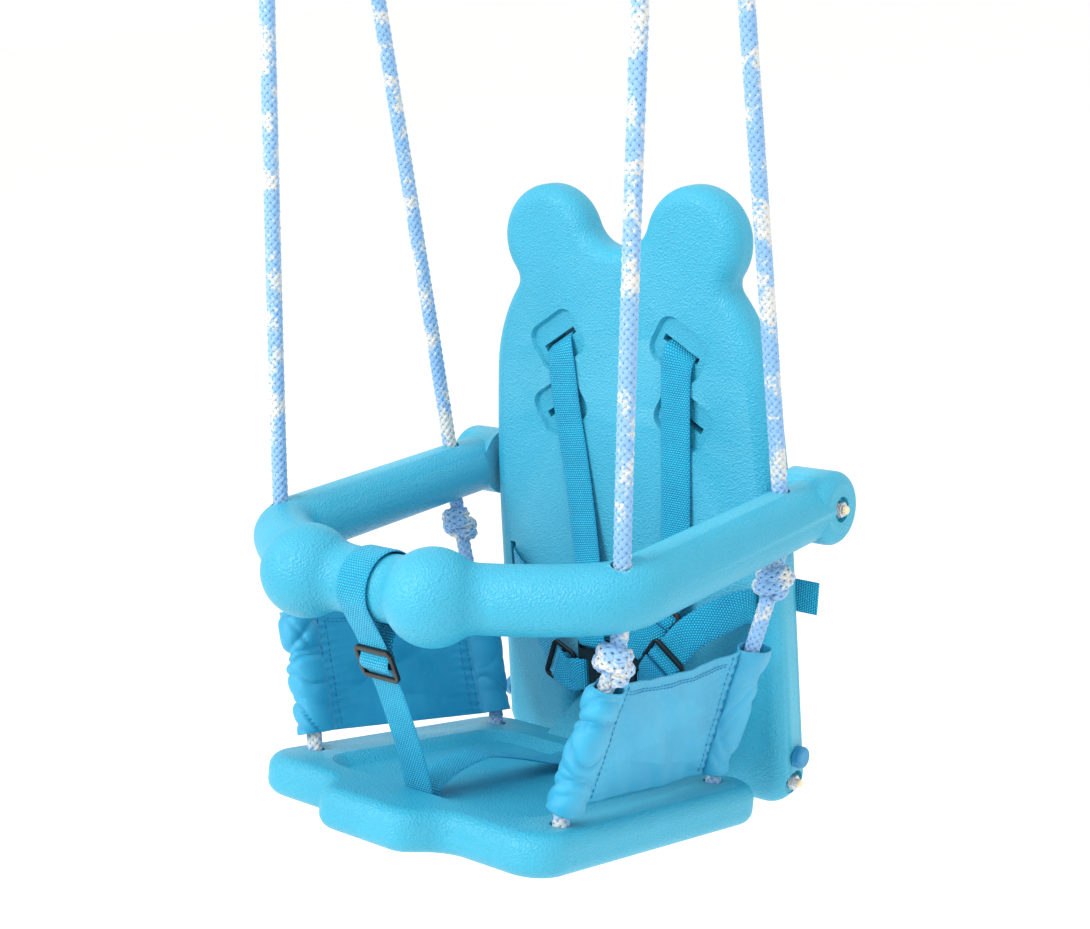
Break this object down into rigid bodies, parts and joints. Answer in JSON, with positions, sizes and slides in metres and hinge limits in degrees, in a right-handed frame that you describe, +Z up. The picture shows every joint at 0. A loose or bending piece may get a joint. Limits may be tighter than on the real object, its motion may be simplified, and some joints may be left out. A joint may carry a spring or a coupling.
{
  "type": "toddler bucket swing",
  "caption": "Hanging toddler swing seat with ear-shaped backrest, lifting guard bar, cloth side panels, crotch strap and five-point harness on two rope pairs.",
  "frame": {"origin": "on the swing axis, midway between the two hanging rings, where the ropes bear on the ring wires", "axes": "+X to the right as seen from in front, +Y from the guard bar towards the backrest, +Z up"},
  "size_m": [0.406, 0.3556, 1.0534],
  "materials": {
    "shell": "fine pebble grain",
    "rope": "braided",
    "panel_cloth": "woven nylon",
    "webbing": "ribbed weave",
    "black_plastic": "satin",
    "pin_plastic": "satin",
    "zinc_steel": "zinc plated"
  },
  "bodies": {
    "hanger": {"ring_left": "zinc_steel", "ring_right": "zinc_steel"},
    "swing": {"rope_left": "rope", "rope_right": "rope", "knots_left": "rope", "knots_right": "rope", "backrest": "shell", "seat": "shell", "guard_rod": "zinc_steel", "guard_nuts": "zinc_steel", "guard_washers": "black_plastic", "hinge_rod": "zinc_steel", "hinge_nuts": "zinc_steel", "side_panel_left": "panel_cloth", "side_panel_right": "panel_cloth", "crotch_strap": "webbing", "harness_crotch_strap": "webbing", "waist_strap_left": "webbing", "waist_strap_right": "webbing", "shoulder_strap_left": "webbing", "shoulder_strap_right": "webbing", "buckle_body": "black_plastic"},
    "guard": {"guard_bar": "shell"},
    "crotch_slide": {"crotch_slider": "black_plastic"},
    "pin_left": {"lock_pin_left": "pin_plastic"},
    "pin_right": {"lock_pin_right": "pin_plastic"},
    "button": {"buckle_button": "black_plastic"},
    "clip_left": {"buckle_clip_left": "black_plastic"},
    "clip_right": {"buckle_clip_right": "black_plastic"},
    "waist_slide_left": {"waist_slider_left": "black_plastic"},
    "waist_slide_right": {"waist_slider_right": "black_plastic"},
    "shoulder_slide_left": {"shoulder_slider_left": "black_plastic"},
    "shoulder_slide_right": {"shoulder_slider_right": "black_plastic"}
  },
  "joints": [
    {"name": "swing", "type": "hinge", "parent": "hanger", "child": "swing", "pos_m": [0, 0, 0], "axis": [1, 0, 0], "range_deg": [-40, 40]},
    {"name": "guard_lift", "type": "hinge", "parent": "swing", "child": "guard", "pos_m": [0, 0.07709, -0.749], "axis": [-1, 0, 0], "range_deg": [0, 12], "deforming": ["crotch_strap", "rope_left", "rope_right", "side_panel_left", "side_panel_right"]},
    {"name": "crotch_slider_slide", "type": "slide", "parent": "guard", "child": "crotch_slide", "axis": [0, -0.2301, 0.9732], "range_m": [-0.04, 0.006], "deforming": ["crotch_strap"]},
    {"name": "pin_left_pull", "type": "slide", "parent": "swing", "child": "pin_left", "axis": [-1, 0, 0], "range_m": [0, 0.03]},
    {"name": "pin_right_pull", "type": "slide", "parent": "swing", "child": "pin_right", "axis": [1, 0, 0], "range_m": [0, 0.03]},
    {"name": "button_press", "type": "slide", "parent": "swing", "child": "button", "axis": [0, 0.9977, -0.0682], "range_m": [0, 0.0016], "stiffness_N_per_m": 900},
    {"name": "clip_left_pull", "type": "slide", "parent": "swing", "child": "clip_left", "axis": [-1, 0, 0], "range_m": [0, 0.014], "deforming": ["waist_strap_left", "shoulder_strap_left"]},
    {"name": "clip_right_pull", "type": "slide", "parent": "swing", "child": "clip_right", "axis": [1, 0, 0], "range_m": [0, 0.014], "deforming": ["waist_strap_right", "shoulder_strap_right"]},
    {"name": "waist_slider_left_slide", "type": "slide", "parent": "clip_left", "child": "waist_slide_left", "axis": [-0.9281, 0.1092, 0.356], "range_m": [-0.006, 0.012], "deforming": ["waist_strap_left", "shoulder_strap_left"]},
    {"name": "waist_slider_right_slide", "type": "slide", "parent": "clip_right", "child": "waist_slide_right", "axis": [0.6319, -0.0711, 0.7718], "range_m": [-0.002, 0.012], "deforming": ["waist_strap_right", "shoulder_strap_right"]},
    {"name": "shoulder_slider_left_slide", "type": "slide", "parent": "clip_left", "child": "shoulder_slide_left", "axis": [-0.2669, 0.2453, 0.932], "range_m": [-0.01, 0.03], "deforming": ["waist_strap_left", "shoulder_strap_left"]},
    {"name": "shoulder_slider_right_slide", "type": "slide", "parent": "clip_right", "child": "shoulder_slide_right", "axis": [0.4657, 0.2474, 0.8497], "range_m": [-0.004, 0.03], "deforming": ["waist_strap_right", "shoulder_strap_right"]}
  ]
}
